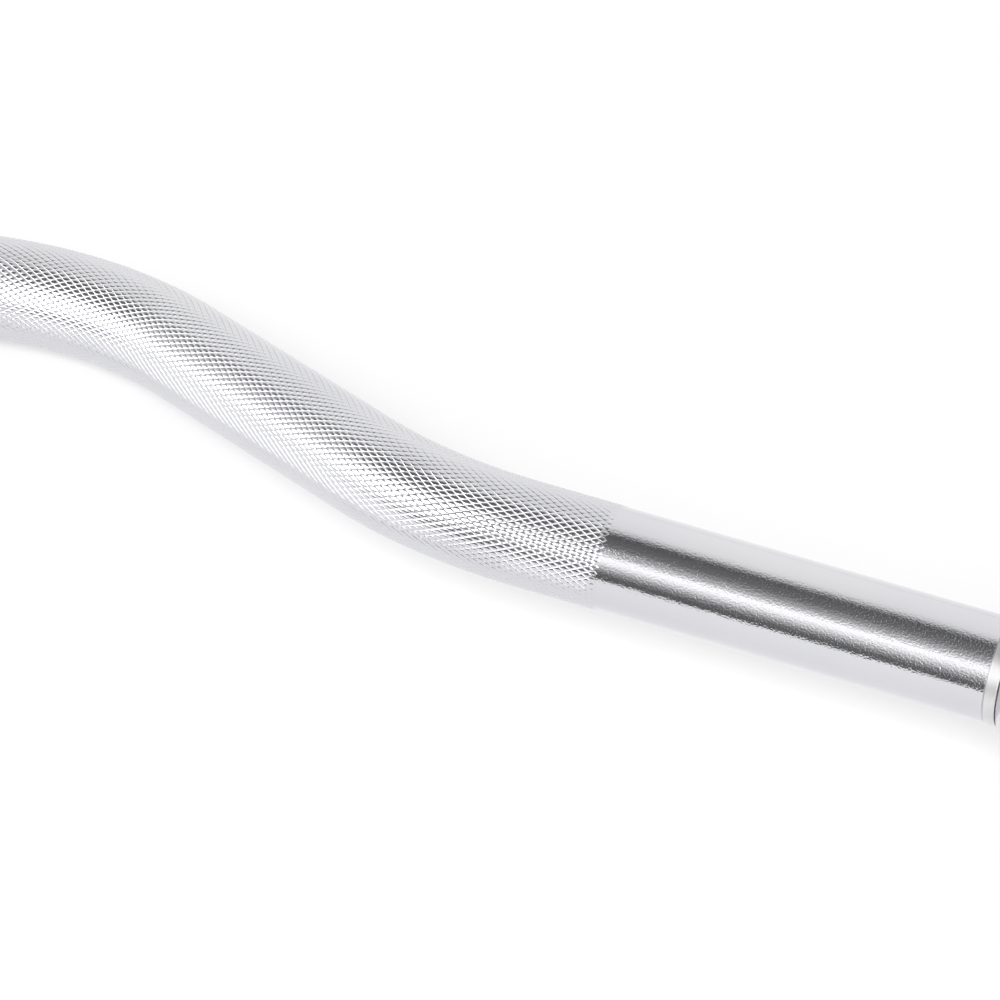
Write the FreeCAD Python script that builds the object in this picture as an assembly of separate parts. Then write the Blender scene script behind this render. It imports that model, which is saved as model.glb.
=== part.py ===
import FreeCAD, Part
import math
import os

from FreeCAD import Vector

# An EZ curl bar: one bent, knurled steel shaft that carries a free-spinning loading sleeve on a turned
# spindle at each end. It lies as on a floor, on the rims of its two collars and on its two bent peaks.
# X runs along the bar, Y points from the sleeves towards the peaks, Z is up. The origin is on the floor,
# under the middle of the bar's box. All sizes are in millimetres and degrees.

# Bent shaft
shaft_diameter = 28.0
bend_angle = 27.0            # slope of both angled grips against the sleeves' axis
outer_bend_radius = 113.0    # all bend radii are on the shaft's centre line
peak_bend_radius = 80.0
inner_bend_radius = 80.0
outer_straight = 157.5       # shoulder to the corner of the outer bend
outer_slope = 143.0          # corner of the outer bend to the corner of the peak
inner_slope = 104.0          # corner of the peak to the corner of the inner bend
centre_span = 120.0          # between the corners of the two inner bends

# Knurled grips
knurl_height = 0.15          # how far the knurl's crests stand above the plain shaft
outer_knurl_run = 24.0       # knurl on the straight beyond the outer bend
inner_knurl_run = 3.0        # knurl on the straight beyond the inner bend

# Spindles
spindle_step = 1.5           # drop in radius at the shoulder
spindle_tail = 4.0           # spindle beyond its retaining ring
spindle_chamfer = 1.0
shoulder_chamfer = 0.3

# Collars
flange_diameter = 66.0
flange_width = 12.0
flange_round = 2.5
hub_wall = 5.0               # hub around the inner bushing
hub_length = 8.0             # straight part of the hub
hub_round = 1.5
nose_angle = 52.5            # slope of the nose cone against the axis
nose_web = 8.0               # wall in front of the inner bushing

# Sleeves
sleeve_diameter = 50.0
loading_length = 145.0       # free sleeve between the flange and the sleeve's end
sleeve_chamfer = 2.0

# Bushings, spacer and thrust washers
bushing_length = 30.0
bushing_wall = 4.45
bushing_chamfer = 0.6
spacer_wall = 2.0
spacer_chamfer = 0.4
washer_thickness = 3.2
washer_chamfer = 0.35
outer_washer_margin = 1.2    # outer washer's rim to the sleeve's bore

# Retaining rings and end plugs
ring_gap_angle = 34.0        # opening between the two lugs of a retaining ring
shaft_ring_thickness = 1.2
shaft_ring_width = 2.3
shaft_ring_lug = 1.9         # radius of a lug
shaft_ring_hole = 0.9        # radius of a lug's plier hole
shaft_ring_margin = 1.0      # tips of the lugs to the sleeve's bore
shaft_groove_depth = 0.6
plug_ring_thickness = 1.75
plug_ring_width = 3.2
plug_ring_lug = 2.7
plug_ring_hole = 1.25
plug_groove_depth = 1.0
plug_step = 2.5              # wider bore that seats the plug
plug_thickness = 5.0
plug_chamfer = 0.6
plug_dish_depth = 0.8
plug_dish_margin = 7.0       # plug's rim to the edge of its dish
sleeve_rim = 2.0             # sleeve beyond the plug's retaining ring
plug_gap = 2.0               # spindle's end to the plug

# Clearances
running_clearance = 0.05     # spindle in its bushings, in radius
seat_clearance = 0.02        # pressed and seated pieces, in radius
end_play = 0.3               # turning faces apart along the axis
nose_clearance = 0.4         # spindle in the collar's nose, in radius
groove_play = 0.1            # retaining rings in their grooves, along the axis

# Radii
shaft_radius = shaft_diameter / 2
grip_radius = shaft_radius + knurl_height
spindle_radius = shaft_radius - spindle_step
nose_bore_radius = spindle_radius + nose_clearance
bushing_bore_radius = spindle_radius + running_clearance
bushing_radius = bushing_bore_radius + bushing_wall
bore_radius = bushing_radius + seat_clearance
sleeve_radius = sleeve_diameter / 2
spigot_radius = (bore_radius + sleeve_radius) / 2
hub_radius = bore_radius + hub_wall
flange_radius = flange_diameter / 2
shaft_groove_radius = spindle_radius - shaft_groove_depth
plug_bore_radius = bore_radius + plug_step
plug_groove_radius = plug_bore_radius + plug_groove_depth

# Corners of the shaft's centre line in the bend plane, from the middle to the right shoulder
slope = math.radians(bend_angle)
centre_offset = (outer_slope - inner_slope) * math.sin(slope)
inner_corner = Vector(centre_span / 2, centre_offset, 0)
peak_corner = inner_corner + Vector(math.cos(slope), math.sin(slope), 0) * inner_slope
outer_corner = peak_corner + Vector(math.cos(slope), -math.sin(slope), 0) * outer_slope
shoulder = outer_corner + Vector(outer_straight, 0, 0)
bend_radii = [inner_bend_radius, peak_bend_radius, outer_bend_radius]

# Ends of the right knurled grip
half_bend = math.tan(slope / 2)
grip_inner_end = inner_corner - Vector(inner_bend_radius * half_bend + inner_knurl_run, 0, 0)
grip_outer_end = outer_corner + Vector(outer_bend_radius * half_bend + outer_knurl_run, 0, 0)

# Rest on the floor: the bend plane leans until the knurled peaks are as low as the flanges
peak_offset = peak_corner.y - peak_bend_radius * (1 / math.cos(slope) - 1)
rest_tilt = math.degrees(math.asin((flange_radius - grip_radius) / peak_offset))
peak_reach = peak_offset * math.cos(math.radians(rest_tilt)) + grip_radius
axis_place = Vector(0, (flange_radius - peak_reach) / 2, flange_radius)

# Places along the axis, from the right shoulder outwards
nose_face = shoulder.x + washer_thickness + end_play
hub_start = nose_face + (hub_radius - shaft_radius) / math.tan(math.radians(nose_angle))
flange_inner_face = hub_start + hub_length
flange_outer_face = flange_inner_face + flange_width
sleeve_end = flange_outer_face + loading_length
plug_groove_width = plug_ring_thickness + groove_play
plug_face = sleeve_end - sleeve_rim - plug_groove_width
plug_seat = plug_face - plug_thickness
spindle_end = plug_seat - plug_gap
shaft_groove_width = shaft_ring_thickness + groove_play
shaft_groove_start = spindle_end - spindle_tail - shaft_groove_width
outer_washer_face = shaft_groove_start - washer_thickness
inner_bushing_start = nose_face + nose_web
inner_bushing_end = inner_bushing_start + bushing_length
outer_bushing_end = outer_washer_face - end_play
outer_bushing_start = outer_bushing_end - bushing_length

x_axis = Vector(1, 0, 0)
on_axis = Vector(0, 0, 0)


def unit(vector):
    """Return the vector's direction, one millimetre long."""
    return vector * (1 / vector.Length)


def round_corner(before, corner, after, radius):
    """Return the two tangent points, the centre and the middle of the arc that rounds a corner."""
    into = unit(corner - before)
    out = unit(after - corner)
    half_turn = into.getAngle(out) / 2
    reach = radius * math.tan(half_turn)
    towards_centre = unit(out - into)
    centre = corner + towards_centre * (radius / math.cos(half_turn))
    middle = centre - towards_centre * radius
    return corner - into * reach, corner + out * reach, centre, middle


def straight_rod(start, end, rod_radius):
    """Return a cylinder from one point to another."""
    return Part.makeCylinder(rod_radius, (end - start).Length, start, end - start)


def bend_of_rod(start, end, centre, rod_radius):
    """Return the part of a ring that turns from one tangent point to the other in the bend plane."""
    spoke = start - centre
    turn_axis = unit(spoke.cross(end - centre))
    section = Part.Face(Part.Wire(Part.makeCircle(rod_radius, start, turn_axis.cross(spoke))))
    turn = math.degrees(spoke.getAngle(end - centre))
    return section.revolve(centre, turn_axis, turn)


def bent_rod(points, radii, rod_radius):
    """Return a round rod of straight runs joined by tangent bends: one radius for each inner point."""
    pieces = []
    run_start = points[0]
    for before, corner, after, radius in zip(points, points[1:], points[2:], radii):
        arc_start, arc_end, centre, _ = round_corner(before, corner, after, radius)
        pieces.append(straight_rod(run_start, arc_start, rod_radius))
        pieces.append(bend_of_rod(arc_start, arc_end, centre, rod_radius))
        run_start = arc_end
    pieces.append(straight_rod(run_start, points[-1], rod_radius))
    return pieces[0].multiFuse(pieces[1:])


def turned(corners):
    """Return a piece turned about the X axis.

    Each corner of the closed profile is (place along the axis, radius) and may have a third number,
    the radius that rounds it.
    """
    points = [Vector(corner[0], corner[1], 0) for corner in corners]
    edges = []
    line_ends = []
    for index, corner in enumerate(corners):
        arrive = points[index]
        leave = points[index]
        if len(corner) == 3:
            after = points[(index + 1) % len(points)]
            arrive, leave, _, middle = round_corner(points[index - 1], points[index], after, corner[2])
            edges.append(Part.Arc(arrive, middle, leave).toShape())
        line_ends.append((arrive, leave))
    for (_, leave), (arrive, _) in zip(line_ends, line_ends[1:] + line_ends[:1]):
        edges.append(Part.LineSegment(leave, arrive).toShape())
    outline = Part.Wire(Part.__sortEdges__(edges))
    return Part.Face(outline).revolve(on_axis, x_axis, 360)


def flat_ring(start, thickness, inner_radius, outer_radius, chamfer):
    """Return a washer or plain bush with all four edges chamfered."""
    end = start + thickness
    return turned([
        (start, inner_radius + chamfer),
        (start, outer_radius - chamfer),
        (start + chamfer, outer_radius),
        (end - chamfer, outer_radius),
        (end, outer_radius - chamfer),
        (end, inner_radius + chamfer),
        (end - chamfer, inner_radius),
        (start + chamfer, inner_radius),
    ])


def retaining_ring(start, thickness, inner_radius, outer_radius, lug_place, lug_radius, hole_radius):
    """Return a spring ring, open at the top, with a lug and its plier hole at each end of the opening."""

    def disc(radius, height=0.0, turn=0.0):
        """Return a disc of the ring's thickness, raised above the axis and then turned about it."""
        body = Part.makeCylinder(radius, thickness, Vector(start, 0, height), x_axis)
        return body.rotated(on_axis, x_axis, turn)

    half_gap = ring_gap_angle / 2
    wedge_height = 2 * outer_radius
    wedge_side = wedge_height * math.tan(math.radians(half_gap))
    wedge_point = Vector(start, 0, 0)
    wedge_left = Vector(start, -wedge_side, wedge_height)
    wedge_right = Vector(start, wedge_side, wedge_height)
    wedge = Part.Face(Part.makePolygon([wedge_point, wedge_left, wedge_right, wedge_point]))
    ring = disc(outer_radius).cut(disc(inner_radius)).cut(wedge.extrude(x_axis * thickness))
    lug_turn = half_gap + math.degrees(lug_radius / lug_place)
    for turn in (-lug_turn, lug_turn):
        ring = ring.fuse(disc(lug_radius, lug_place, turn))
        ring = ring.cut(disc(hole_radius, lug_place, turn))
    return ring.removeSplitter()


def spindle():
    """Return the right end of the shaft: the turned spindle with the groove of its retaining ring."""
    return turned([
        (shoulder.x - shoulder_chamfer, 0),
        (shoulder.x - shoulder_chamfer, spindle_radius),
        (shaft_groove_start, spindle_radius),
        (shaft_groove_start, shaft_groove_radius),
        (shaft_groove_start + shaft_groove_width, shaft_groove_radius),
        (shaft_groove_start + shaft_groove_width, spindle_radius),
        (spindle_end - spindle_chamfer, spindle_radius),
        (spindle_end, spindle_radius - spindle_chamfer),
        (spindle_end, 0),
    ])


def shoulder_edge():
    """Return the last, chamfered slice of the shaft in front of the spindle."""
    start = shoulder.x - shoulder_chamfer
    return turned([
        (start, 0),
        (start, shaft_radius),
        (shoulder.x, shaft_radius - shoulder_chamfer),
        (shoulder.x, 0),
    ])


def mirrored(shape):
    """Return the left-hand copy of a right-hand shape."""
    return shape.mirror(on_axis, x_axis)


def bent_shaft():
    """Return the shaft: bent rod, two raised knurled grips and two spindles, as one solid."""
    plain_end = shoulder - x_axis * shoulder_chamfer
    right_points = [inner_corner, peak_corner, outer_corner]
    left_points = [Vector(-point.x, point.y, 0) for point in reversed(right_points)]
    left_end = Vector(-plain_end.x, 0, 0)
    rod = bent_rod([left_end] + left_points + right_points + [plain_end],
                   bend_radii[::-1] + bend_radii, shaft_radius)
    grip = bent_rod([grip_inner_end] + right_points + [grip_outer_end], bend_radii, grip_radius)
    bar = rod.multiFuse([grip, mirrored(grip)]).removeSplitter()
    bar = bar.rotated(on_axis, x_axis, -rest_tilt)
    end = shoulder_edge().fuse(spindle())
    return bar.multiFuse([end, mirrored(end)]).removeSplitter()


def collar():
    """Return the right collar: nose cone, hub and loading flange, bored for bushing and sleeve."""
    return turned([
        (nose_face, nose_bore_radius),
        (nose_face, shaft_radius),
        (hub_start, hub_radius, hub_round),
        (flange_inner_face, hub_radius, hub_round),
        (flange_inner_face, flange_radius, flange_round),
        (flange_outer_face, flange_radius, flange_round),
        (flange_outer_face, spigot_radius + seat_clearance),
        (flange_inner_face, spigot_radius + seat_clearance),
        (flange_inner_face, bore_radius),
        (inner_bushing_start, bore_radius),
        (inner_bushing_start, nose_bore_radius),
    ])


def sleeve():
    """Return the right loading sleeve: a tube with a spigot, a plug seat and a ring groove."""
    groove_end = plug_face + plug_groove_width
    return turned([
        (flange_inner_face, bore_radius),
        (flange_inner_face, spigot_radius),
        (flange_outer_face, spigot_radius),
        (flange_outer_face, sleeve_radius),
        (sleeve_end - sleeve_chamfer, sleeve_radius),
        (sleeve_end, sleeve_radius - sleeve_chamfer),
        (sleeve_end, plug_bore_radius),
        (groove_end, plug_bore_radius),
        (groove_end, plug_groove_radius),
        (plug_face, plug_groove_radius),
        (plug_face, plug_bore_radius),
        (plug_seat, plug_bore_radius),
        (plug_seat, bore_radius),
    ])


def bushing(start):
    """Return a bronze bushing that is pressed into the sleeve and runs on the spindle."""
    return flat_ring(start, bushing_length, bushing_bore_radius, bushing_radius, bushing_chamfer)


def spacer_tube():
    """Return the thin tube that keeps the two bushings apart."""
    length = outer_bushing_start - inner_bushing_end
    return flat_ring(inner_bushing_end, length, bushing_radius - spacer_wall, bushing_radius, spacer_chamfer)


def inner_washer():
    """Return the thrust washer that shows between the shaft's shoulder and the collar."""
    return flat_ring(shoulder.x, washer_thickness, bushing_bore_radius, shaft_radius, washer_chamfer)


def outer_washer():
    """Return the thrust washer between the outer bushing and the shaft's retaining ring."""
    return flat_ring(outer_washer_face, washer_thickness, bushing_bore_radius,
                     bore_radius - outer_washer_margin, washer_chamfer)


def shaft_ring():
    """Return the outside retaining ring that holds the sleeve on the spindle."""
    inner_radius = shaft_groove_radius + seat_clearance
    outer_radius = inner_radius + shaft_ring_width
    lug_place = bore_radius - shaft_ring_margin - shaft_ring_lug
    return retaining_ring(shaft_groove_start, shaft_ring_thickness, inner_radius, outer_radius,
                          lug_place, shaft_ring_lug, shaft_ring_hole)


def end_plug():
    """Return the dished plug that closes the sleeve's end."""
    plug_radius = plug_bore_radius - seat_clearance
    dish_radius = plug_radius - plug_dish_margin
    return turned([
        (plug_seat, 0),
        (plug_seat, plug_radius),
        (plug_face - plug_chamfer, plug_radius),
        (plug_face, plug_radius - plug_chamfer),
        (plug_face, dish_radius),
        (plug_face - plug_dish_depth, dish_radius - plug_dish_depth),
        (plug_face - plug_dish_depth, 0),
    ])


def plug_ring():
    """Return the inside retaining ring that holds the plug in the sleeve."""
    outer_radius = plug_groove_radius - seat_clearance
    inner_radius = outer_radius - plug_ring_width
    return retaining_ring(plug_face, plug_ring_thickness, inner_radius, outer_radius,
                          inner_radius, plug_ring_lug, plug_ring_hole)


def right_end_pieces():
    """Return the pieces of the right end by name."""
    return {
        "inner_washer": inner_washer(),
        "collar": collar(),
        "sleeve": sleeve(),
        "inner_bushing": bushing(inner_bushing_start),
        "spacer_tube": spacer_tube(),
        "outer_bushing": bushing(outer_bushing_start),
        "outer_washer": outer_washer(),
        "shaft_ring": shaft_ring(),
        "end_plug": end_plug(),
        "plug_ring": plug_ring(),
    }


def write_step(name, shape):
    """Move a piece from the bar's axis to its place over the floor and write it."""
    placed = shape.translated(axis_place)
    placed.exportStep("parts/" + name + ".step")
    print(name, "solids", len(placed.Solids), "volume", round(placed.Volume), "valid", placed.isValid())


os.makedirs("parts", exist_ok=True)
write_step("bent_shaft", bent_shaft())
for piece_name, piece in right_end_pieces().items():
    write_step("right_" + piece_name, piece)
    write_step("left_" + piece_name, mirrored(piece))
print("rest tilt", round(rest_tilt, 3), "axis", axis_place, "length", round(2 * sleeve_end, 2))
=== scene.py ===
"""Looks of an EZ curl bar: a bent and knurled chrome shaft with a turning sleeve on each end.

Sizes are written in millimetres and degrees, as on a drawing, and become metres when a mesh is made.
X runs along the bar, Y from the sleeves towards the bent peaks, Z is up, and the floor is at z = 0.
"""

import logging
import math
from dataclasses import dataclass, field
from enum import Enum

import bpy
import numpy as np
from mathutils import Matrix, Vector


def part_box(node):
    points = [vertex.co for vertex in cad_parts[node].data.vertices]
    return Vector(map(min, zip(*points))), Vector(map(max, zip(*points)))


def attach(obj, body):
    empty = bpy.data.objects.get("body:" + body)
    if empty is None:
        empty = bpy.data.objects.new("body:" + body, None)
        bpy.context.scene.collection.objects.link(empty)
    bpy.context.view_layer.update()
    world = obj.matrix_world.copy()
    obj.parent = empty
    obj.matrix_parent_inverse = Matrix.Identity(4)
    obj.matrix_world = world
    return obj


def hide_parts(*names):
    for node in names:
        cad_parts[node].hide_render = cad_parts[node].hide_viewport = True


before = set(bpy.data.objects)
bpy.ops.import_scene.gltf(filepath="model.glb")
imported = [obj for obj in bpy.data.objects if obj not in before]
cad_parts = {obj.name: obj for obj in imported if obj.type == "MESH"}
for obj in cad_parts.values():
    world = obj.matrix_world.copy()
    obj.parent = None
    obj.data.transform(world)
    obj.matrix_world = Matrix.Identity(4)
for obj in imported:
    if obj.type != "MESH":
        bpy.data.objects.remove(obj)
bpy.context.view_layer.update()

MM = 0.001
FLOAT, COLOUR, VECTOR = "NodeSocketFloat", "NodeSocketColor", "NodeSocketVector"
Colour = tuple[float, float, float]
Corner = tuple[float, float, float]
Reach = tuple[float, float]
Bands = tuple[tuple[float, float], ...]
Socket = bpy.types.NodeSocket
log = logging.getLogger("curl_bar")


class Side(Enum):
    """The two ends of the bar, each with the sign of its x."""

    LEFT = -1
    RIGHT = 1

    def piece(self, name: str) -> str:
        """Return the name of this side's copy of a piece."""
        return f"{self.name.lower()}_{name}"


class Ends(Enum):
    """How a skin of rings is closed."""

    LOOP = "the last ring joins the first, as on a washer or a tube"
    POLES = "the first and the last ring are filled to a point on the axis"


class Shading(Enum):
    """How the faces of a piece take the light."""

    FACETS = "every face is flat, as on the floor"
    TURNED = "smooth, with a crease at every sharp edge"


class Fade(Enum):
    """How a share grows along its reach, by Blender's name."""

    EVEN = "LINEAR"
    SOFT = "SMOOTHSTEP"


# Meshes from whole arrays


@dataclass
class Surface:
    """A mesh as arrays: points as rows of (x, y, z) in millimetres, faces as rows of point numbers."""

    points: np.ndarray
    faces: list[np.ndarray]

    def on_side(self, side: Side) -> "Surface":
        """Bring the surface to one side of the bar.

        Args:
            side: the side that it is for.

        Returns:
            Itself on the right, its mirror image on the left.
        """
        if side is Side.RIGHT:
            return self
        return Surface(self.points * (-1, 1, 1), [rows[:, ::-1] for rows in self.faces])

    def to_object(self, name: str, shading: Shading) -> bpy.types.Object:
        """Make the Blender object, in metres and at the origin.

        Args:
            name: name of the piece.
            shading: how its faces take the light.

        Returns:
            The new object, linked to the scene.
        """
        crease_angle = math.radians(32)
        corners = np.concatenate([rows.ravel() for rows in self.faces])
        corner_counts = np.concatenate([np.full(len(rows), rows.shape[1]) for rows in self.faces])
        mesh = bpy.data.meshes.new(name)
        mesh.vertices.add(len(self.points))
        mesh.vertices.foreach_set("co", (self.points * MM).astype(np.float32).ravel())
        mesh.loops.add(len(corners))
        mesh.loops.foreach_set("vertex_index", corners.astype(np.int32))
        mesh.polygons.add(len(corner_counts))
        mesh.polygons.foreach_set("loop_start", (np.cumsum(corner_counts) - corner_counts).astype(np.int32))
        mesh.update(calc_edges=True)
        mesh.validate()
        if shading is Shading.TURNED:
            mesh.shade_smooth()
            mesh.set_sharp_from_angle(angle=crease_angle)
        else:
            mesh.shade_flat()
        piece = bpy.data.objects.new(name, mesh)
        bpy.context.scene.collection.objects.link(piece)
        return piece


def grid_faces(rings: np.ndarray, closed: bool) -> np.ndarray:
    """Join rings of point numbers to quads.

    Column j of ring i is joined to column j + 1 and to ring i + 1; the last column joins the first.

    Args:
        rings: point numbers, one row for each ring.
        closed: whether the last ring joins the first.

    Returns:
        Rows of four point numbers.
    """
    here = rings if closed else rings[:-1]
    there = np.roll(rings, -1, axis=0) if closed else rings[1:]
    quads = np.stack([here, np.roll(here, -1, axis=1), np.roll(there, -1, axis=1), there], axis=-1)
    return quads.reshape(-1, 4)


def skin(rings: np.ndarray, ends: Ends) -> Surface:
    """Cover a row of rings with faces that point outwards.

    Args:
        rings: array of (ring, point, xyz); points turn to the right about the way the rings run.
        ends: how the row of rings is closed.

    Returns:
        The closed surface.
    """
    ring_count, point_count, _ = rings.shape
    numbers = np.arange(ring_count * point_count).reshape(ring_count, point_count)
    points = rings.reshape(-1, 3)
    faces = [grid_faces(numbers, closed=ends is Ends.LOOP)]
    if ends is Ends.POLES:
        poles = np.stack([rings[0].mean(axis=0), rings[-1].mean(axis=0)])
        first_pole = np.full(point_count, len(points))
        last_pole = first_pole + 1
        faces.append(np.stack([first_pole, np.roll(numbers[0], -1), numbers[0]], axis=-1))
        faces.append(np.stack([last_pole, numbers[-1], np.roll(numbers[-1], -1)], axis=-1))
        points = np.concatenate([points, poles])
    return Surface(points, faces)


def rounded_profile(corners: np.ndarray, closed: bool) -> np.ndarray:
    """Round the corners of a profile with arcs.

    An arc of radius R at a corner that turns by 2h has its middle on the line that halves the corner:
    point(a) = centre + R (cos a * middle direction + sin a * travel direction), with a from -h to h.
    A point on the straight just before and after each arc keeps the flats flat in smooth shading.

    Args:
        corners: rows of (place along the axis, radius, rounding), in the order of travel.
        closed: whether the last corner joins the first; otherwise both end corners stay sharp.

    Returns:
        Rows of (place along the axis, radius).
    """
    arc_steps = 5
    flat_share = 0.3
    places, roundings = corners[:, :2], corners[:, 2:]
    to_next = np.roll(places, -1, axis=0) - places
    out = to_next / np.linalg.norm(to_next, axis=1, keepdims=True)
    into = np.roll(out, 1, axis=0)
    travel = (into + out) / np.linalg.norm(into + out, axis=1, keepdims=True)
    towards_centre = (out - into) / np.linalg.norm(out - into, axis=1, keepdims=True)
    half_turn = np.arccos(np.clip((into * travel).sum(axis=1, keepdims=True), -1, 1))
    reach = roundings * np.tan(half_turn)
    centres = places + towards_centre * roundings / np.cos(half_turn)
    angles = (half_turn * np.linspace(-1, 1, arc_steps))[:, :, None]
    arcs = (centres[:, None] - towards_centre[:, None] * roundings[:, None] * np.cos(angles)
            + travel[:, None] * roundings[:, None] * np.sin(angles))
    before = places - into * reach * (1 + flat_share)
    after = places + out * reach * (1 + flat_share)
    rows = np.concatenate([before[:, None], arcs, after[:, None]], axis=1)
    if closed:
        return rows.reshape(-1, 2)
    return np.concatenate([places[:1], rows[1:-1].reshape(-1, 2), places[-1:]])


@dataclass(frozen=True)
class SleeveAxis:
    """The line that both sleeves turn about, parallel to X."""

    y: float
    z: float

    @staticmethod
    def from_frame() -> "SleeveAxis":
        """Return the axis through the middle of the right sleeve's box."""
        low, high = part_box("right_sleeve")
        return SleeveAxis((low.y + high.y) / 2 / MM, (low.z + high.z) / 2 / MM)

    def turned(self, profile: np.ndarray, ends: Ends, segments: int) -> Surface:
        """Turn a profile about the axis: (x, r) at angle a stands at (x, r cos a, r sin a) from the axis.

        Args:
            profile: rows of (x, radius) for the right side, outer faces running towards +X.
            ends: how the turned skin is closed.
            segments: number of points around the axis.

        Returns:
            The closed surface on the right side of the bar.
        """
        angle = np.linspace(0, math.tau, segments, endpoint=False)
        along, radius = profile[:, :1], profile[:, 1:]
        x = np.broadcast_to(along, (len(profile), segments))
        y = self.y + radius * np.cos(angle)
        z = self.z + radius * np.sin(angle)
        return skin(np.stack([x, y, z], axis=-1), ends)


# Finishes


class NodeSheet:
    """Adds nodes to a node tree and joins them."""

    def __init__(self, tree: bpy.types.NodeTree) -> None:
        """Start on a node tree."""
        self.tree = tree

    def add(self, kind: str, inputs: dict | None = None, **settings: object) -> bpy.types.Node:
        """Add a node.

        Args:
            kind: Blender's name of the node type.
            inputs: for each input socket, by name or number, a value or an output socket to link.
            settings: properties of the node.

        Returns:
            The new node.
        """
        node = self.tree.nodes.new(kind)
        for name, value in settings.items():
            setattr(node, name, value)
        for name, value in (inputs or {}).items():
            if isinstance(value, bpy.types.NodeSocket):
                self.tree.links.new(value, node.inputs[name])
            else:
                node.inputs[name].default_value = value
        return node

    def math(self, operation: str, *values: object) -> Socket:
        """Return the result of a math node on numbers or sockets."""
        return self.add("ShaderNodeMath", dict(enumerate(values)), operation=operation).outputs[0]

    def noise(self, place: Socket, scale: object, detail: float = 2.0) -> Socket:
        """Return the value of a noise texture, about 0.5 on average."""
        node = self.add("ShaderNodeTexNoise", {"Vector": place, "Scale": scale, "Detail": detail})
        return node.outputs["Fac"]

    def mix(self, share: Socket, first: Socket, second: Socket) -> Socket:
        """Return the first colour, turned into the second by a share from 0 to 1."""
        node = self.add("ShaderNodeMixRGB", {"Fac": share, "Color1": first, "Color2": second})
        return node.outputs["Color"]

    def share(self, value: Socket, reach: Reach, fade: Fade) -> Socket:
        """Return how far a value has come along a reach.

        Args:
            value: the value to look at.
            reach: where the share is 0, and where it is 1.
            fade: how the share grows between them.

        Returns:
            The share's socket.
        """
        start, end = reach
        node = self.add("ShaderNodeMapRange", {"Value": value, "From Min": start, "From Max": end},
                        interpolation_type=fade.value)
        return node.outputs["Result"]

    def ramp(self, value: Socket, stops: list[tuple[float, Colour]]) -> Socket:
        """Return the colour of a ramp.

        Args:
            value: the value to look up.
            stops: rows of (place, colour), rising, with places from 0 to 1.

        Returns:
            The colour's socket.
        """
        node = self.add("ShaderNodeValToRGB", {"Fac": value})
        elements = node.color_ramp.elements
        elements.remove(elements[1])
        first, *others = stops
        elements[0].position = first[0]
        elements[0].color = (*first[1], 1)
        for place, colour in others:
            elements.new(place).color = (*colour, 1)
        return node.outputs["Color"]


def socket_group(name: str, inputs: dict[str, str], outputs: dict[str, str]) -> bpy.types.NodeTree:
    """Make an empty shader node group with its sockets.

    Args:
        name: name of the group.
        inputs: Blender's socket type for each input's name.
        outputs: Blender's socket type for each output's name.

    Returns:
        The node group.
    """
    group = bpy.data.node_groups.new(name, "ShaderNodeTree")
    for socket, kind in inputs.items():
        group.interface.new_socket(socket, in_out="INPUT", socket_type=kind)
    for socket, kind in outputs.items():
        group.interface.new_socket(socket, in_out="OUTPUT", socket_type=kind)
    return group


def metal_skin_group() -> bpy.types.NodeTree:
    """Make the group for metal: patches of tone, haze in the polish and the lay of the grinding.

    Tone mixes two colours by a slow noise, roughness adds a slow noise to its base, and height is a fine
    noise that is stretched differently along the bar and around it.

    Returns:
        The node group.
    """
    patch_reach = (0.35, 0.65)
    group = socket_group(
        "metal_skin",
        {"Colour": COLOUR, "Patch Colour": COLOUR, "Patch Scale": FLOAT, "Roughness": FLOAT, "Haze": FLOAT,
         "Haze Scale": FLOAT, "Lay Stretch": VECTOR},
        {"Colour": COLOUR, "Roughness": FLOAT, "Height": FLOAT})
    sheet = NodeSheet(group)
    given = sheet.add("NodeGroupInput").outputs
    place = sheet.add("ShaderNodeTexCoord").outputs["Object"]
    patch = sheet.share(sheet.noise(place, given["Patch Scale"]), patch_reach, Fade.EVEN)
    tone = sheet.mix(patch, given["Colour"], given["Patch Colour"])
    cloud = sheet.math("SUBTRACT", sheet.noise(place, given["Haze Scale"], detail=4.0), 0.5)
    roughness = sheet.math("MULTIPLY_ADD", cloud, given["Haze"], given["Roughness"])
    stretched = sheet.add("ShaderNodeVectorMath", {0: place, 1: given["Lay Stretch"]}, operation="MULTIPLY")
    height = sheet.noise(stretched.outputs["Vector"], 1.0, detail=1.0)
    sheet.add("NodeGroupOutput", {"Colour": tone, "Roughness": roughness, "Height": height})
    return group


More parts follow.
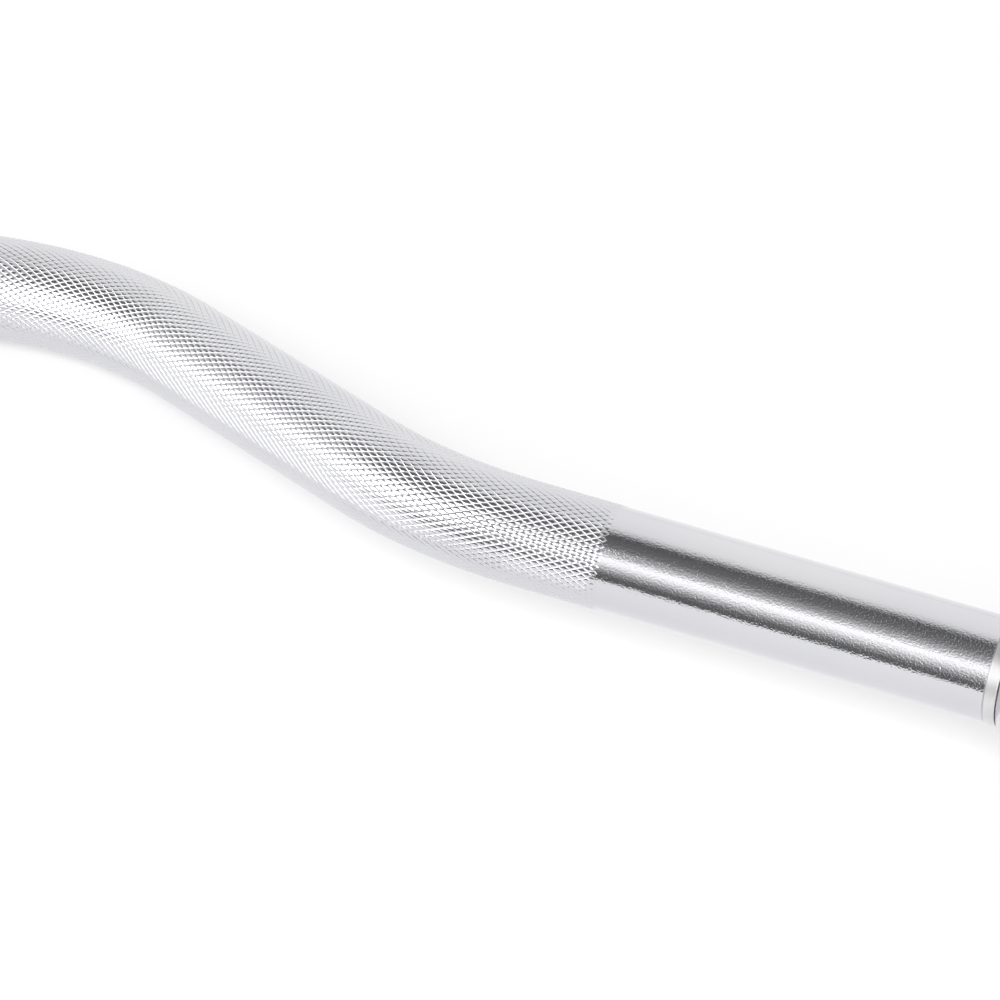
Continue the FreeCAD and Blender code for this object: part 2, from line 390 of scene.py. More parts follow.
@dataclass(frozen=True)
class MetalFinish:
    """A bare or plated metal surface; the lay is the grain that turning, grinding or plating leaves."""

    name: str
    colour: Colour
    patch_colour: Colour
    roughness: float
    haze: float
    lay_along: float
    lay_around: float
    lay_depth: float
    patch_size: float = 60.0
    haze_size: float = 25.0

    def material(self, metal_skin: bpy.types.NodeTree) -> bpy.types.Material:
        """Make the material.

        Args:
            metal_skin: the shared group for metal.

        Returns:
            The new material.
        """
        material = bpy.data.materials.new(self.name)
        material.use_nodes = True
        sheet = NodeSheet(material.node_tree)
        shader = material.node_tree.nodes["Principled BSDF"]
        shader.inputs["Metallic"].default_value = 1.0
        around = 1 / (self.lay_around * MM)
        metal = sheet.add("ShaderNodeGroup", {
            "Colour": (*self.colour, 1),
            "Patch Colour": (*self.patch_colour, 1),
            "Patch Scale": 1 / (self.patch_size * MM),
            "Roughness": self.roughness,
            "Haze": self.haze,
            "Haze Scale": 1 / (self.haze_size * MM),
            "Lay Stretch": (1 / (self.lay_along * MM), around, around),
        }, node_tree=metal_skin)
        bump = sheet.add("ShaderNodeBump", {
            "Height": metal.outputs["Height"], "Strength": 1.0, "Distance": self.lay_depth * MM})
        material.node_tree.links.new(metal.outputs["Colour"], shader.inputs["Base Color"])
        material.node_tree.links.new(metal.outputs["Roughness"], shader.inputs["Roughness"])
        material.node_tree.links.new(bump.outputs["Normal"], shader.inputs["Normal"])
        return material


@dataclass(frozen=True)
class NylonFinish:
    """Moulded black nylon with a fine spark texture."""

    name: str = "plug_nylon"
    colour: Colour = (0.022, 0.022, 0.024)
    worn_colour: Colour = (0.045, 0.045, 0.047)
    tone_size: float = 6.0
    roughness: float = 0.4
    roughness_spread: float = 0.2
    pebble_size: float = 0.35
    pebble_depth: float = 0.03

    def material(self) -> bpy.types.Material:
        """Make the material: two tones by a slow noise and a fine pebbled bump.

        Returns:
            The new material.
        """
        material = bpy.data.materials.new(self.name)
        material.use_nodes = True
        sheet = NodeSheet(material.node_tree)
        shader = material.node_tree.nodes["Principled BSDF"]
        place = sheet.add("ShaderNodeTexCoord").outputs["Object"]
        cloud = sheet.noise(place, 1 / (self.tone_size * MM), detail=4.0)
        tone = sheet.ramp(cloud, [(0.3, self.colour), (0.7, self.worn_colour)])
        pebbles = sheet.noise(place, 1 / (self.pebble_size * MM))
        roughness = sheet.math("MULTIPLY_ADD", pebbles, self.roughness_spread, self.roughness)
        bump = sheet.add("ShaderNodeBump", {
            "Height": pebbles, "Strength": 1.0, "Distance": self.pebble_depth * MM})
        material.node_tree.links.new(tone, shader.inputs["Base Color"])
        material.node_tree.links.new(roughness, shader.inputs["Roughness"])
        material.node_tree.links.new(bump.outputs["Normal"], shader.inputs["Normal"])
        return material


CHROME: Colour = (0.675, 0.675, 0.70)
CHROME_PATCH: Colour = (0.705, 0.705, 0.725)
METALS = (
    MetalFinish("shaft_chrome", CHROME, CHROME_PATCH, roughness=0.08, haze=0.04,
                lay_along=0.6, lay_around=0.5, lay_depth=0.045),
    MetalFinish("knurl_chrome", CHROME, CHROME_PATCH, roughness=0.11, haze=0.04,
                lay_along=0.5, lay_around=0.5, lay_depth=0.008),
    MetalFinish("collar_chrome", CHROME, CHROME_PATCH, roughness=0.12, haze=0.06,
                lay_along=0.25, lay_around=6.0, lay_depth=0.004),
    MetalFinish("sleeve_chrome", CHROME, CHROME_PATCH, roughness=0.14, haze=0.08,
                lay_along=0.3, lay_around=8.0, lay_depth=0.006),
    MetalFinish("washer_steel", (0.68, 0.68, 0.69), (0.76, 0.76, 0.76), roughness=0.42, haze=0.1,
                lay_along=0.2, lay_around=3.0, lay_depth=0.02, patch_size=8.0, haze_size=4.0),
    MetalFinish("spacer_steel", (0.46, 0.46, 0.47), (0.54, 0.53, 0.52), roughness=0.4, haze=0.15,
                lay_along=0.4, lay_around=4.0, lay_depth=0.01, patch_size=12.0),
    MetalFinish("ring_steel", (0.11, 0.11, 0.115), (0.17, 0.16, 0.155), roughness=0.42, haze=0.16,
                lay_along=0.3, lay_around=0.6, lay_depth=0.006, patch_size=5.0, haze_size=3.0),
    MetalFinish("bushing_bronze", (0.62, 0.42, 0.19), (0.5, 0.33, 0.15), roughness=0.36, haze=0.14,
                lay_along=0.3, lay_around=2.0, lay_depth=0.008, patch_size=9.0, haze_size=4.0),
)


def make_finishes() -> dict[str, bpy.types.Material]:
    """Make every material of the bar once.

    Returns:
        The materials by name.
    """
    metal_skin = metal_skin_group()
    finishes = {finish.name: finish.material(metal_skin) for finish in METALS}
    nylon = NylonFinish()
    finishes[nylon.name] = nylon.material()
    return finishes


def dress(piece: bpy.types.Object, material: bpy.types.Material) -> None:
    """Give a whole piece one material."""
    piece.data.materials.clear()
    piece.data.materials.append(material)


# The bent shaft


@dataclass(frozen=True)
class Run:
    """A straight or evenly bent stretch of the shaft's centre line."""

    length: float
    turn: float = 0.0


@dataclass
class ShaftLine:
    """The shaft's centre line: straight runs and bends in one plane that leans down to the peaks."""

    axis: SleeveAxis
    bend_angle: float = 27.0
    inner_bend_radius: float = 80.0
    peak_bend_radius: float = 80.0
    outer_bend_radius: float = 113.0
    centre_span: float = 120.0
    inner_slope: float = 104.0
    outer_slope: float = 143.0
    outer_straight: float = 157.5
    spindle_length: float = 163.804
    rest_tilt: float = 19.992

    def runs(self) -> list[Run]:
        """Lay out the right half of the line; a bend's reach is how far it cuts into each run beside it.

        Returns:
            The runs from the middle of the bar to the end of its right spindle.
        """
        angle = math.radians(self.bend_angle)
        inner_reach = self.inner_bend_radius * math.tan(angle / 2)
        peak_reach = self.peak_bend_radius * math.tan(angle)
        outer_reach = self.outer_bend_radius * math.tan(angle / 2)
        return [
            Run(self.centre_span / 2 - inner_reach),
            Run(self.inner_bend_radius * angle, angle),
            Run(self.inner_slope - inner_reach - peak_reach),
            Run(self.peak_bend_radius * 2 * angle, -2 * angle),
            Run(self.outer_slope - peak_reach - outer_reach),
            Run(self.outer_bend_radius * angle, angle),
            Run(self.outer_straight - outer_reach + self.spindle_length),
        ]

    def run_ends(self) -> np.ndarray:
        """Return the distance from the middle of the bar to the end of each run."""
        return np.cumsum([run.length for run in self.runs()])

    def centre(self, distance: np.ndarray) -> tuple[np.ndarray, np.ndarray, np.ndarray]:
        """Follow the centre line; the left half is the right half with x and heading reversed.

        A straight adds its length along its heading. A bend of radius R adds R times the change of the
        heading's sine along the bar, and R times the change of its cosine across it.

        Args:
            distance: distances along the line from the middle of the bar, negative to the left.

        Returns:
            Place along the bar, offset from the sleeves' axis in the bend plane, and heading.
        """
        side = np.sign(distance)
        reach = np.abs(distance)
        centre_offset = (self.outer_slope - self.inner_slope) * math.sin(math.radians(self.bend_angle))
        along = np.zeros_like(reach)
        offset = np.full_like(reach, centre_offset)
        heading = np.zeros_like(reach)
        run_start, start_heading = 0.0, 0.0
        for run in self.runs():
            done = np.clip(reach - run_start, 0, run.length)
            if run.turn:
                radius = run.length / run.turn
                now = start_heading + done / radius
                along += radius * (np.sin(now) - math.sin(start_heading))
                offset += radius * (math.cos(start_heading) - np.cos(now))
                heading += done / radius
            else:
                along += done * math.cos(start_heading)
                offset += done * math.sin(start_heading)
            run_start += run.length
            start_heading += run.turn
        return side * along, offset, side * heading

    def around(self, distance: np.ndarray, angle: np.ndarray, radius: np.ndarray) -> np.ndarray:
        """Return points around the centre line.

        A point stands off the line by radius * cos(angle) in the bend plane and by radius * sin(angle)
        square to it; the bend plane is turned about the sleeves' axis by the rest tilt.

        Args:
            distance: distances along the line.
            angle: angles around it, turning to the right about the way it runs.
            radius: distances from it.

        Returns:
            Array of points with xyz last.
        """
        tilt = math.radians(self.rest_tilt)
        along, offset, heading = self.centre(distance)
        sideways = radius * np.cos(angle)
        upwards = radius * np.sin(angle)
        x = along - sideways * np.sin(heading)
        in_plane = offset + sideways * np.cos(heading)
        y = self.axis.y + in_plane * math.cos(tilt) + upwards * math.sin(tilt)
        z = self.axis.z - in_plane * math.sin(tilt) + upwards * math.cos(tilt)
        return np.stack(np.broadcast_arrays(x, y, z), axis=-1)


@dataclass(frozen=True)
class PadLine:
    """A line around a pad: its share of the way from the pad's middle to the grooves, and its depth."""

    share: float
    depth: float


@dataclass(frozen=True)
class Knurl:
    """Sizes of the diamond knurl: rounded pads between grooves that wind round the shaft both ways."""

    starts: int = 48
    groove_angle: float = 30.0
    crest_radius: float = 14.15
    pad_lines: tuple[PadLine, ...] = (PadLine(0.30, 0.0), PadLine(0.55, 0.022), PadLine(0.85, 0.075))
    groove_depth: float = 0.16
    skin_depth: float = 0.3
    run_out: float = 3.2
    run_out_depth: float = 0.14

    def row_pitch(self) -> float:
        """Return half the length of a diamond along the shaft."""
        return math.pi * self.crest_radius / self.starts / math.tan(math.radians(self.groove_angle))


@dataclass
class KnurlStretch:
    """A stretch of knurl round the right half of the shaft, closed behind by a plain inner wall.

    Grooves cross at every second place of a chequered grid, rows along the shaft and columns around it,
    and a pad is centred on each of the other places. Near the ends of the grip the knurl sinks evenly
    into the plain shaft.
    """

    line: ShaftLine
    knurl: Knurl
    distances: np.ndarray
    grip_ends: tuple[float, float]

    def __post_init__(self) -> None:
        """Count the grid's rows and columns and work out its steps."""
        self.rows = len(self.distances)
        self.columns = 2 * self.knurl.starts
        self.row_step = self.distances[1] - self.distances[0]
        self.column_step = math.tau / self.columns

    def points(self, row: np.ndarray, column: np.ndarray, depth: np.ndarray | float) -> np.ndarray:
        """Return points below the crests.

        Args:
            row: places in rows of the grid, whole or not.
            column: places in columns of the grid, whole or not.
            depth: depths below the crests.

        Returns:
            Array of points with xyz last.
        """
        distance = self.distances[0] + row * self.row_step
        start, end = self.grip_ends
        to_end = np.minimum(distance - start, end - distance)
        sunk = self.knurl.run_out_depth * np.clip(1 - to_end / self.knurl.run_out, 0, 1)
        return self.line.around(distance, column * self.column_step, self.knurl.crest_radius - depth - sunk)

    def crossing(self, row: np.ndarray, column: np.ndarray) -> np.ndarray:
        """Return the point numbers of the crossings at whole rows and columns."""
        return row * self.knurl.starts + column % self.columns // 2

    def pad_rings(self) -> tuple[np.ndarray, np.ndarray]:
        """Place the lines around every pad.

        A line's four corners lie towards the four crossings around the pad, nearer by the line's share.

        Returns:
            Points of (pad row, pad, line, corner, xyz), and the numbers of the crossings around each pad.
        """
        ways = np.array([(-1, 0), (0, 1), (1, 0), (0, -1)])
        shares = np.array([line.share for line in self.knurl.pad_lines])[:, None]
        depths = np.array([line.depth for line in self.knurl.pad_lines])[:, None]
        row = np.arange(1, self.rows - 1)[:, None, None]
        column = 2 * np.arange(self.knurl.starts)[None, :, None] + (row + 1) % 2
        crossings = self.crossing(row + ways[:, 0], column + ways[:, 1])
        corner_row = row[..., None] + ways[:, 0] * shares
        corner_column = column[..., None] + ways[:, 1] * shares
        return self.points(corner_row, corner_column, depths), crossings

    def inner_wall(self) -> tuple[np.ndarray, np.ndarray, np.ndarray]:
        """Place the plain wall behind the knurl.

        Returns:
            Points of (ring, column, xyz), and the numbers of the crossings along the last and first rim.
        """
        column = np.arange(self.columns)
        first_row = column % 2
        last_row = self.rows - 1 - (self.rows - 1 + column) % 2
        middle_rows = np.linspace(self.rows - 4, 3, self.rows // 6)
        row = np.concatenate([last_row[None], np.repeat(middle_rows[:, None], self.columns, axis=1),
                              first_row[None]])
        wall = self.points(row, column, self.knurl.skin_depth)
        return wall, self.crossing(last_row, column), self.crossing(first_row, column)

    def surface(self) -> Surface:
        """Join crossings, pads and inner wall to a closed skin.

        Returns:
            The surface on the right side of the bar.
        """
        row = np.arange(self.rows)[:, None]
        column = 2 * np.arange(self.knurl.starts) + row % 2
        grooves = self.points(row, column, self.knurl.groove_depth).reshape(-1, 3)
        rings, crossings = self.pad_rings()
        wall, last_rim, first_rim = self.inner_wall()
        ring_numbers = len(grooves) + np.arange(rings.size // 3).reshape(rings.shape[:-1])
        wall_numbers = len(grooves) + rings.size // 3 + np.arange(wall.size // 3).reshape(wall.shape[:-1])
        lines = np.concatenate([ring_numbers, crossings[:, :, None]], axis=2)
        inner, outer = lines[:, :, :-1], lines[:, :, 1:]
        slopes = np.stack([outer, np.roll(outer, -1, axis=-1), np.roll(inner, -1, axis=-1), inner], axis=-1)
        back = grid_faces(np.concatenate([last_rim[None], wall_numbers, first_rim[None]]), closed=False)
        points = np.concatenate([grooves, rings.reshape(-1, 3), wall.reshape(-1, 3)])
        return Surface(points, [ring_numbers[:, :, 0].reshape(-1, 4), slopes.reshape(-1, 4), back])


@dataclass
class BentShaft:
    """The one-piece shaft: plain rod, spindles and knurled grips."""

    line: ShaftLine
    finishes: dict[str, bpy.types.Material]
    knurl: Knurl = field(default_factory=Knurl)
    radius: float = 14.0
    core_radius: float = 13.75
    core_rows: int = 90
    core_step: float = 1.0
    flat_step: float = 0.5
    outer_knurl_run: float = 24.0
    inner_knurl_run: float = 3.0
    knurl_tail: float = 1.2
    shoulder_chamfer: float = 0.3
    spindle_radius: float = 12.5
    spindle_chamfer: float = 1.0
    spindle_tail: float = 4.0
    groove_width: float = 1.3
    groove_depth: float = 0.6
    segments: int = 144

    def grip_ends(self) -> tuple[float, float]:
        """Work out where the knurl has faded into the plain shaft, on the right half.

        Returns:
            Distances from the middle of the bar to the inner and the outer end.
        """
        ends = self.line.run_ends()
        inner_end = ends[0] - self.inner_knurl_run - self.knurl_tail
        outer_end = ends[5] + self.outer_knurl_run + self.knurl_tail
        return inner_end, outer_end

    def build_rod(self) -> bpy.types.Object:
        """Make the plain rod with its spindles, a little thinner under the knurl.

        The rod is a row of rings round the centre line, with the radius as a function of the distance.

        Returns:
            The rod.
        """
        knurl_start, knurl_end = self.grip_ends()
        core_start, core_end = knurl_start + self.knurl.run_out, knurl_end - self.knurl.run_out
        end = self.line.run_ends()[-1]
        shoulder = end - self.line.spindle_length
        groove_end = end - self.spindle_tail
        groove_start = groove_end - self.groove_width
        core = np.linspace(core_start + self.core_step, core_end - self.core_step, self.core_rows)
        outwards = np.concatenate([
            [(core_start - self.flat_step, self.radius), (core_start, self.radius)],
            np.stack([core, np.full(self.core_rows, self.core_radius)], axis=-1),
            [
                (core_end, self.radius),
                (core_end + self.flat_step, self.radius),
                (shoulder - self.shoulder_chamfer, self.radius),
                (shoulder, self.radius - self.shoulder_chamfer),
                (shoulder, self.spindle_radius),
                (groove_start, self.spindle_radius),
                (groove_start, self.spindle_radius - self.groove_depth),
                (groove_end, self.spindle_radius - self.groove_depth),
                (groove_end, self.spindle_radius),
                (end - self.spindle_chamfer, self.spindle_radius),
                (end, self.spindle_radius - self.spindle_chamfer),
            ],
        ])
        profile = np.concatenate([outwards[::-1] * (-1, 1), outwards])
        angle = np.linspace(0, math.tau, self.segments, endpoint=False)
        rings = self.line.around(profile[:, :1], angle, profile[:, 1:])
        return skin(rings, Ends.POLES).to_object("plain_rod", Shading.TURNED)

    def build_grips(self) -> list[bpy.types.Object]:
        """Roll the knurl in two stretches on each side, which meet near the peak along a row of diamonds.

        Returns:
            The four grips.
        """
        start, end = self.grip_ends()
        row_count = round((end - start) / self.knurl.row_pitch())
        distances = np.linspace(start, end, row_count + 1)
        middle = row_count // 4 * 2
        stretches = {"inner_grip": distances[:middle + 2], "outer_grip": distances[middle:]}
        grips = []
        for name, stretch in stretches.items():
            grip = KnurlStretch(self.line, self.knurl, stretch, (start, end)).surface()
            grips += [grip.on_side(side).to_object(side.piece(name), Shading.TURNED) for side in Side]
        return grips

    def build(self) -> None:
        """Make the shaft's pieces, dress them and fix them to the bar."""
        rod = self.build_rod()
        grips = self.build_grips()
        dress(rod, self.finishes["shaft_chrome"])
        for grip in grips:
            dress(grip, self.finishes["knurl_chrome"])
        for piece in [rod, *grips]:
            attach(piece, "bar")
            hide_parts("bent_shaft")
            log.info("%s: %d faces", piece.name, len(piece.data.polygons))


# The turning ends


@dataclass
class SleeveEnd:
    """One end of the bar: washer, collar, loading sleeve and end plug, with what turns inside them."""

    side: Side
    axis: SleeveAxis
    finishes: dict[str, bpy.types.Material]
    shoulder: float = 437.579
    shaft_radius: float = 14.0
    washer_thickness: float = 3.2
    washer_bore_radius: float = 12.55
    washer_round: float = 0.3
    end_play: float = 0.3
    nose_bore_radius: float = 12.9
    nose_length: float = 6.154
    nose_web: float = 8.0
    hub_radius: float = 22.02
    hub_length: float = 8.0
    hub_round: float = 1.5
    flange_radius: float = 33.0
    flange_width: float = 12.0
    flange_round: float = 2.5
    sleeve_radius: float = 25.0
    bore_radius: float = 17.02
    spigot_radius: float = 21.01
    loading_length: float = 145.0
    sleeve_chamfer: float = 2.0
    sleeve_rim: float = 2.0
    ring_groove_width: float = 1.85
    ring_groove_depth: float = 1.0
    plug_bore_radius: float = 19.52
    plug_thickness: float = 5.0
    plug_chamfer: float = 0.6
    plug_dish_radius: float = 12.5
    plug_dish_depth: float = 0.8
    plug_flat_radius: float = 2.0
    seat_clearance: float = 0.02
    edge_round: float = 0.2
    segments: int = 160

    def __post_init__(self) -> None:
        """Add up the places along the axis."""
        self.nose_face = self.shoulder + self.washer_thickness + self.end_play
        self.hub_start = self.nose_face + self.nose_length
        self.flange_inner_face = self.hub_start + self.hub_length
        self.flange_outer_face = self.flange_inner_face + self.flange_width
        self.sleeve_end = self.flange_outer_face + self.loading_length
        self.groove_end = self.sleeve_end - self.sleeve_rim
        self.plug_face = self.groove_end - self.ring_groove_width
        self.plug_seat = self.plug_face - self.plug_thickness

    def turned_piece(self, name: str, corners: list[Corner], ends: Ends) -> bpy.types.Object:
        """Make a turned piece.

        Args:
            name: name of the piece without its side.
            corners: corners of its profile on the right side, as (x, radius, rounding).
            ends: how the turned skin is closed.

        Returns:
            The piece on this side of the bar.
        """
        profile = rounded_profile(np.array(corners), closed=ends is Ends.LOOP)
        surface = self.axis.turned(profile, ends, self.segments)
        return surface.on_side(self.side).to_object(self.side.piece(name), Shading.TURNED)

    def build_washer(self) -> bpy.types.Object:
        """Make the thrust washer that shows between the shaft and the collar.

        Returns:
            The washer on this side of the bar.
        """
        end = self.shoulder + self.washer_thickness
        return self.turned_piece("thrust_washer", [
            (self.shoulder, self.washer_bore_radius, self.washer_round),
            (self.shoulder, self.shaft_radius, self.washer_round),
            (end, self.shaft_radius, self.washer_round),
            (end, self.washer_bore_radius, self.washer_round),
        ], Ends.LOOP)

    def build_collar(self) -> bpy.types.Object:
        """Make the collar: nose cone, hub and flange, bored for the bushing and the sleeve's spigot.

        Returns:
            The collar on this side of the bar.
        """
        edge = self.edge_round
        seat = self.spigot_radius + self.seat_clearance
        web_end = self.nose_face + self.nose_web
        return self.turned_piece("nosed_collar", [
            (self.nose_face, self.nose_bore_radius, edge),
            (self.nose_face, self.shaft_radius, edge),
            (self.hub_start, self.hub_radius, self.hub_round),
            (self.flange_inner_face, self.hub_radius, self.hub_round),
            (self.flange_inner_face, self.flange_radius, self.flange_round),
            (self.flange_outer_face, self.flange_radius, self.flange_round),
            (self.flange_outer_face, seat, edge),
            (self.flange_inner_face, seat, edge),
            (self.flange_inner_face, self.bore_radius, edge),
            (web_end, self.bore_radius, edge),
            (web_end, self.nose_bore_radius, edge),
        ], Ends.LOOP)

    def build_sleeve(self) -> bpy.types.Object:
        """Make the loading sleeve: a tube with a spigot, a plug seat and a ring groove.

        Returns:
            The sleeve on this side of the bar.
        """
        edge = self.edge_round
        groove_radius = self.plug_bore_radius + self.ring_groove_depth
        return self.turned_piece("loading_sleeve", [
            (self.flange_inner_face, self.bore_radius, edge),
            (self.flange_inner_face, self.spigot_radius, edge),
            (self.flange_outer_face, self.spigot_radius, edge),
            (self.flange_outer_face, self.sleeve_radius, edge),
            (self.sleeve_end - self.sleeve_chamfer, self.sleeve_radius, edge),
            (self.sleeve_end, self.sleeve_radius - self.sleeve_chamfer, edge),
            (self.sleeve_end, self.plug_bore_radius, edge),
            (self.groove_end, self.plug_bore_radius, edge),
            (self.groove_end, groove_radius, edge),
            (self.plug_face, groove_radius, edge),
            (self.plug_face, self.plug_bore_radius, edge),
            (self.plug_seat, self.plug_bore_radius, edge),
            (self.plug_seat, self.bore_radius, edge),
        ], Ends.LOOP)

    def build_plug(self) -> bpy.types.Object:
        """Make the dished plug that closes the sleeve's end.

        Returns:
            The plug on this side of the bar.
        """
        edge = self.edge_round
        plug_radius = self.plug_bore_radius - self.seat_clearance
        dish_floor = self.plug_face - self.plug_dish_depth
        return self.turned_piece("dished_plug", [
            (self.plug_seat, self.plug_flat_radius, edge),
            (self.plug_seat, plug_radius, edge),
            (self.plug_face - self.plug_chamfer, plug_radius, edge),
            (self.plug_face, plug_radius - self.plug_chamfer, edge),
            (self.plug_face, self.plug_dish_radius, edge),
            (dish_floor, self.plug_dish_radius - self.plug_dish_depth, edge),
            (dish_floor, self.plug_flat_radius, edge),
        ], Ends.POLES)

    def dress_inside(self) -> None:
        """Give the bushings, spacer, outer washer and retaining rings their finishes."""
        inside = {
            "inner_bushing": "bushing_bronze",
            "outer_bushing": "bushing_bronze",
            "spacer_tube": "spacer_steel",
            "outer_washer": "washer_steel",
            "shaft_ring": "ring_steel",
            "plug_ring": "ring_steel",
        }
        for name, finish in inside.items():
            node = self.side.piece(name)
            dress(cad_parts[node], self.finishes[finish])
            log.info("%s: dressed in %s", node, finish)

    def build(self) -> None:
        """Make and dress the outer pieces, fix them to their bodies, and dress the inner ones."""
        turning = self.side.piece("end")
        outer = [
            (self.build_washer(), "inner_washer", "washer_steel", "bar"),
            (self.build_collar(), "collar", "collar_chrome", turning),
            (self.build_sleeve(), "sleeve", "sleeve_chrome", turning),
            (self.build_plug(), "end_plug", "plug_nylon", turning),
        ]
        for piece, node, finish, body in outer:
            dress(piece, self.finishes[finish])
            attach(piece, body)
            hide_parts(self.side.piece(node))
            log.info("%s: %d faces", piece.name, len(piece.data.polygons))
        self.dress_inside()


# Studio


class LampUse(Enum):
    """What a lamp is for."""

    SHADOW = "lights the floor and isn't seen in the metal"
    REFLECTION = "is seen in the metal and doesn't light the floor"


@dataclass(frozen=True)
class SoftLamp:
    """An even rectangular lamp; across and upright are its sides, and tilt turns it up from facing down."""

    name: str
    centre: tuple[float, float, float]
    across: float
    upright: float
    level: float
    tilt: float
    use: LampUse

    def build(self) -> None:
        """Hang the lamp; an even lamp of area A and level L gives off pi * A * L watts."""
        lamp = bpy.data.lights.new(self.name, "AREA")
        lamp.shape = "RECTANGLE"
        lamp.size = self.across * MM
        lamp.size_y = self.upright * MM
        lamp.energy = math.pi * lamp.size * lamp.size_y * self.level
        holder = bpy.data.objects.new(self.name, lamp)
        holder.location = Vector(self.centre) * MM
        holder.rotation_euler = (math.radians(self.tilt), 0, 0)
        holder.visible_camera = False
        holder.visible_glossy = self.use is LampUse.REFLECTION
        holder.visible_diffuse = self.use is LampUse.SHADOW
        bpy.context.scene.collection.objects.link(holder)


@dataclass
class Studio:
    """White floor and backdrop, and a pale tent with a gap that shows a dim room and a soft lamp.

    Tent, room, lamp and wing are written as light levels by elevation: 0 is the horizon in front of the
    bar, 90 straight above it and 180 the horizon behind it. The gap is written as shares by the x of the
    direction. A reach gives the x or y of the direction where a share is 0 and where it is 1. The lamp
    fades towards the right. The wing, dim with two soft strips, stands far to the right, and behind the
    bar far to the left as well.
    """

    tent: Bands = (
        (-180.0, 1.0), (-120.0, 1.0), (-90.0, 0.6), (0.0, 0.6), (10.0, 1.0), (20.0, 2.4), (52.0, 2.4),
        (66.0, 1.1), (80.0, 0.75), (98.0, 0.7), (106.0, 0.85), (114.0, 0.95), (150.0, 1.06))
    gap: Bands = ((-0.80, 0.0), (-0.68, 1.0), (-0.16, 1.0), (0.0, 0.0))
    room: Bands = (
        (-180.0, 1.0), (-120.0, 1.0), (-90.0, 0.13), (0.0, 0.13), (60.0, 0.22), (82.0, 0.16), (98.0, 0.11),
        (105.0, 0.46), (112.0, 0.86), (122.0, 1.0), (150.0, 1.06))
    lamp: Bands = (
        (8.0, 0.0), (18.0, 0.22), (26.0, 0.65), (34.0, 1.1), (43.0, 1.4), (47.0, 1.25), (51.0, 0.75),
        (56.0, 0.38), (64.0, 0.18), (74.0, 0.0))
    wing: Bands = (
        (-180.0, 0.25), (-90.0, 0.2), (0.0, 0.2), (14.0, 0.3), (24.0, 0.9), (34.0, 1.5), (46.0, 1.5),
        (56.0, 0.8), (66.0, 0.3), (80.0, 0.2), (100.0, 0.2), (114.0, 0.3), (124.0, 0.9), (134.0, 1.4),
        (146.0, 1.4), (156.0, 0.8), (166.0, 0.35), (180.0, 0.25))
    lamp_reach: Reach = (0.35, -0.3)
    right_wing_reach: Reach = (0.4, 0.6)
    left_wing_reach: Reach = (-0.5, -0.65)
    left_wing_back_reach: Reach = (0.05, 0.25)
    floor_colour: Colour = (0.83, 0.83, 0.84)
    floor_glow: float = 0.5
    floor_front: float = -460.0
    floor_reach: float = 6000.0
    lamps: tuple[SoftLamp, ...] = (
        SoftLamp("front_key", (0.0, -1306.0, 2011.0), 2000.0, 700.0, level=7.7, tilt=33.0,
                 use=LampUse.SHADOW),
        SoftLamp("front_card", (-545.0, -330.0, 390.0), 1350.0, 580.0, level=1.9, tilt=90.0,
                 use=LampUse.REFLECTION),
    )

    def light_level(self, sheet: NodeSheet) -> Socket:
        """Work out the level of the light from its direction.

        The elevation is the angle whose tangent is height over forwards. The lamp adds to the room, the gap
        shows both instead of the tent, and the wing stands before all of them.

        Args:
            sheet: the world's nodes.

        Returns:
            The level's socket.
        """
        direction = sheet.add("ShaderNodeTexCoord").outputs["Generated"]
        way = sheet.add("ShaderNodeSeparateXYZ", {0: direction}).outputs
        elevation = sheet.math("ARCTAN2", way["Z"], sheet.math("MULTIPLY", way["Y"], -1.0))
        turn = sheet.math("MULTIPLY_ADD", elevation, 1 / math.tau, 0.5)
        tent, room, lamp, wing = [
            sheet.ramp(turn, [(degrees / 360 + 0.5, (level, level, level)) for degrees, level in bands])
            for bands in (self.tent, self.room, self.lamp, self.wing)]
        sideways = sheet.math("MULTIPLY_ADD", way["X"], 0.5, 0.5)
        gap = sheet.ramp(sideways, [(x / 2 + 0.5, (share, share, share)) for x, share in self.gap])
        lamp_share = sheet.share(way["X"], self.lamp_reach, Fade.SOFT)
        right_share = sheet.share(way["X"], self.right_wing_reach, Fade.SOFT)
        left_share = sheet.share(way["X"], self.left_wing_reach, Fade.SOFT)
        back_share = sheet.share(way["Y"], self.left_wing_back_reach, Fade.SOFT)
        behind_gap = sheet.math("MULTIPLY_ADD", lamp, lamp_share, room)
        wing_share = sheet.math("MULTIPLY_ADD", left_share, back_share, right_share)
        return sheet.mix(wing_share, sheet.mix(gap, tent, behind_gap), wing)

    def build_world(self) -> None:
        """Make the world: the studio's light, and a white backdrop to the camera alone."""
        world = bpy.data.worlds.new("studio")
        world.use_nodes = True
        bpy.context.scene.world = world
        tree = world.node_tree
        tree.nodes.clear()
        sheet = NodeSheet(tree)
        lit = sheet.add("ShaderNodeBackground", {"Color": self.light_level(sheet)})
        backdrop = sheet.add("ShaderNodeBackground", {"Color": (1, 1, 1, 1)})
        seen = sheet.add("ShaderNodeLightPath").outputs["Is Camera Ray"]
        mixed = sheet.add("ShaderNodeMixShader", {0: seen, 1: lit.outputs[0], 2: backdrop.outputs[0]})
        sheet.add("ShaderNodeOutputWorld", {"Surface": mixed.outputs[0]})

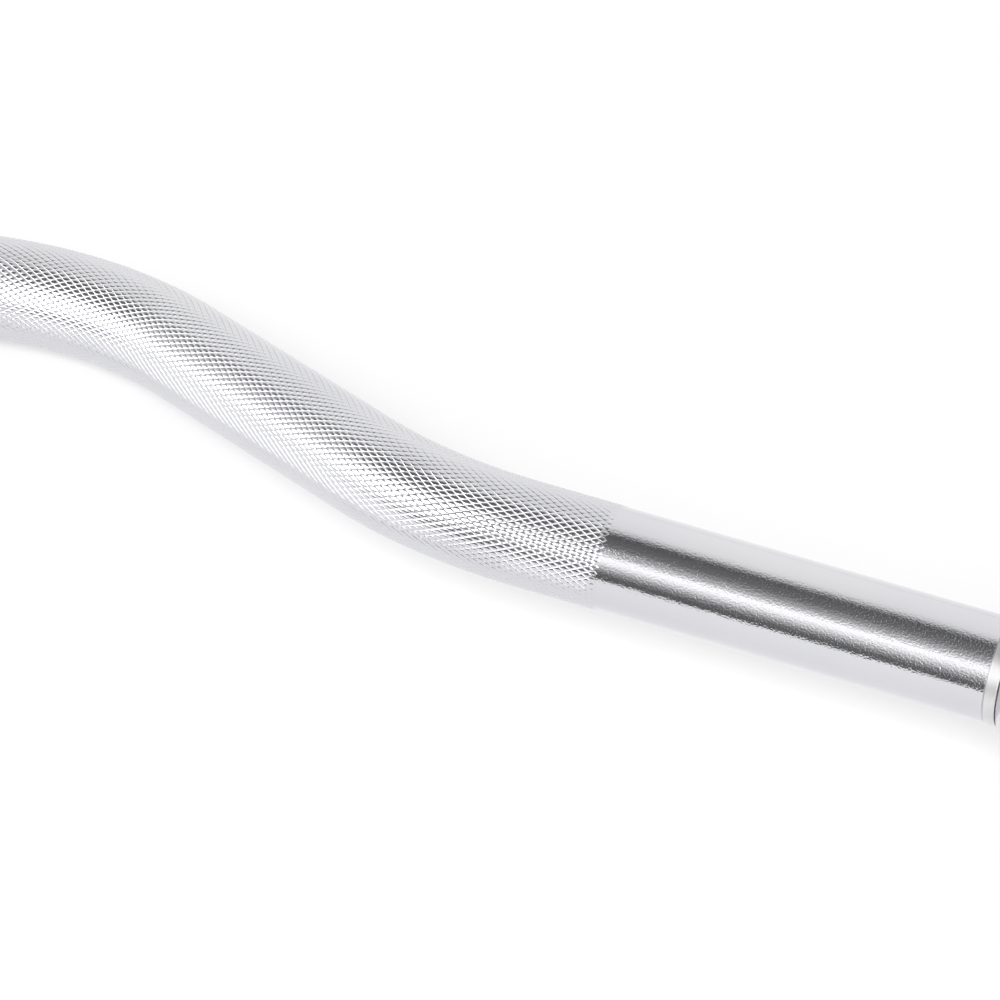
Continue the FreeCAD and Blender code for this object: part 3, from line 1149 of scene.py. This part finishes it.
    def build_floor(self) -> None:
        """Make the floor: a pale sheet that keeps the shadow and glows to the camera and in reflections."""
        front, reach = self.floor_front, self.floor_reach
        corners = np.array([(-reach, front, 0), (reach, front, 0), (reach, reach, 0), (-reach, reach, 0)])
        floor = Surface(corners, [np.array([[0, 1, 2, 3]])]).to_object("floor", Shading.FACETS)
        material = bpy.data.materials.new("floor_paper")
        material.use_nodes = True
        tree = material.node_tree
        tree.nodes.clear()
        sheet = NodeSheet(tree)
        paper = sheet.add("ShaderNodeBsdfDiffuse", {"Color": (*self.floor_colour, 1)})
        glow = sheet.add("ShaderNodeEmission", {"Color": (1, 1, 1, 1), "Strength": 1.0})
        ray = sheet.add("ShaderNodeLightPath").outputs
        mirrored = sheet.math("MAXIMUM", ray["Is Glossy Ray"], ray["Is Transmission Ray"])
        seen = sheet.math("MAXIMUM", ray["Is Camera Ray"], mirrored)
        share = sheet.math("MULTIPLY", seen, self.floor_glow)
        mixed = sheet.add("ShaderNodeMixShader", {0: share, 1: paper.outputs[0], 2: glow.outputs[0]})
        sheet.add("ShaderNodeOutputMaterial", {"Surface": mixed.outputs[0]})
        dress(floor, material)

    def build(self) -> None:
        """Make the world, the floor and the lamps."""
        self.build_world()
        self.build_floor()
        for lamp in self.lamps:
            lamp.build()


@dataclass
class PhotoCamera:
    """A long lens over the right half of the bar, level, turned towards the right end."""

    target: tuple[float, float, float] = (296.14, -7.69, 33.0)
    distance: float = 1621.0
    azimuth: float = 21.82
    elevation: float = 46.04
    lens: float = 221.8
    sensor: float = 36.0

    def build(self) -> None:
        """Place the camera and make it the scene's own."""
        azimuth, elevation = math.radians(self.azimuth), math.radians(self.elevation)
        back = Vector((math.sin(azimuth) * math.cos(elevation), -math.cos(azimuth) * math.cos(elevation),
                       math.sin(elevation)))
        lens = bpy.data.cameras.new("photo_camera")
        lens.lens = self.lens
        lens.sensor_width = self.sensor
        holder = bpy.data.objects.new("photo_camera", lens)
        holder.location = (Vector(self.target) + back * self.distance) * MM
        holder.rotation_euler = back.to_track_quat("Z", "Y").to_euler()
        bpy.context.scene.collection.objects.link(holder)
        bpy.context.scene.camera = holder


def main() -> None:
    """Build the bar from the middle outwards, then the studio around it."""
    logging.basicConfig(level=logging.INFO)
    bpy.context.scene.view_settings.view_transform = "Standard"
    axis = SleeveAxis.from_frame()
    finishes = make_finishes()
    BentShaft(ShaftLine(axis), finishes).build()
    for side in Side:
        SleeveEnd(side, axis, finishes).build()
    Studio().build()
    PhotoCamera().build()


if __name__ == "__main__":
    main()
